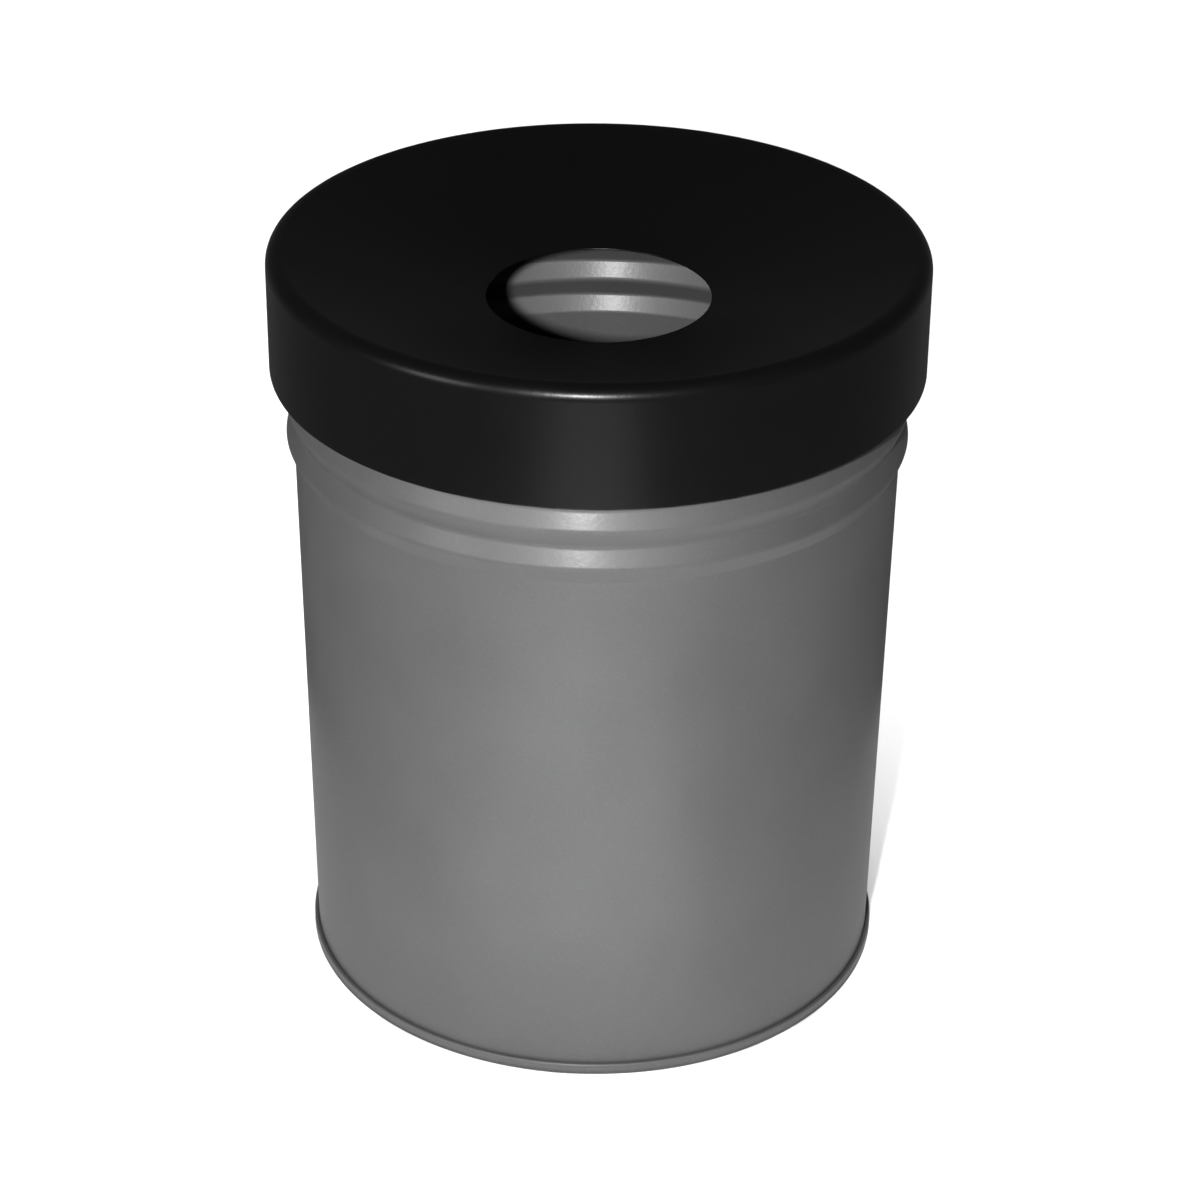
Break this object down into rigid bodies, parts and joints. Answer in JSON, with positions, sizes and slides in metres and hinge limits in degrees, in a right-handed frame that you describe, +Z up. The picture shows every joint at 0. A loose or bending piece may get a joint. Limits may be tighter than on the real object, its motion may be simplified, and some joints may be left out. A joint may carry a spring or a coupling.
{
  "type": "self-extinguishing waste can",
  "caption": "Round steel waste can with a tapered, beaded body, a seamed base and a lift-off funnel lid whose small central opening smothers a fire inside.",
  "frame": {"origin": "centre of the base, on the floor that the bottom seam stands on", "axes": "+Z up along the axis of the body and lid; -Y is the side seen from the front; the body is round, so X and Y differ only in where the lid's tabs lie"},
  "size_m": [0.295, 0.295, 0.3538],
  "materials": {
    "body_paint": "satin powder coat, mid grey, fine texture",
    "lid_paint": "satin powder coat, black, fine texture",
    "bare_steel": "drawn steel wire",
    "seam_compound": "matt sealing compound"
  },
  "bodies": {
    "bin": {"body_shell": "body_paint", "rim_wire": "bare_steel", "base_pan": "body_paint", "seam_seal": "seam_compound"},
    "lid": {"lid_shell": "lid_paint", "lid_tab_1": "lid_paint", "lid_tab_2": "lid_paint", "lid_tab_3": "lid_paint"}
  },
  "joints": [
    {"name": "lid_lift", "type": "slide", "parent": "bin", "child": "lid", "axis": [0, 0, 1], "range_m": [0, 0.15]}
  ]
}
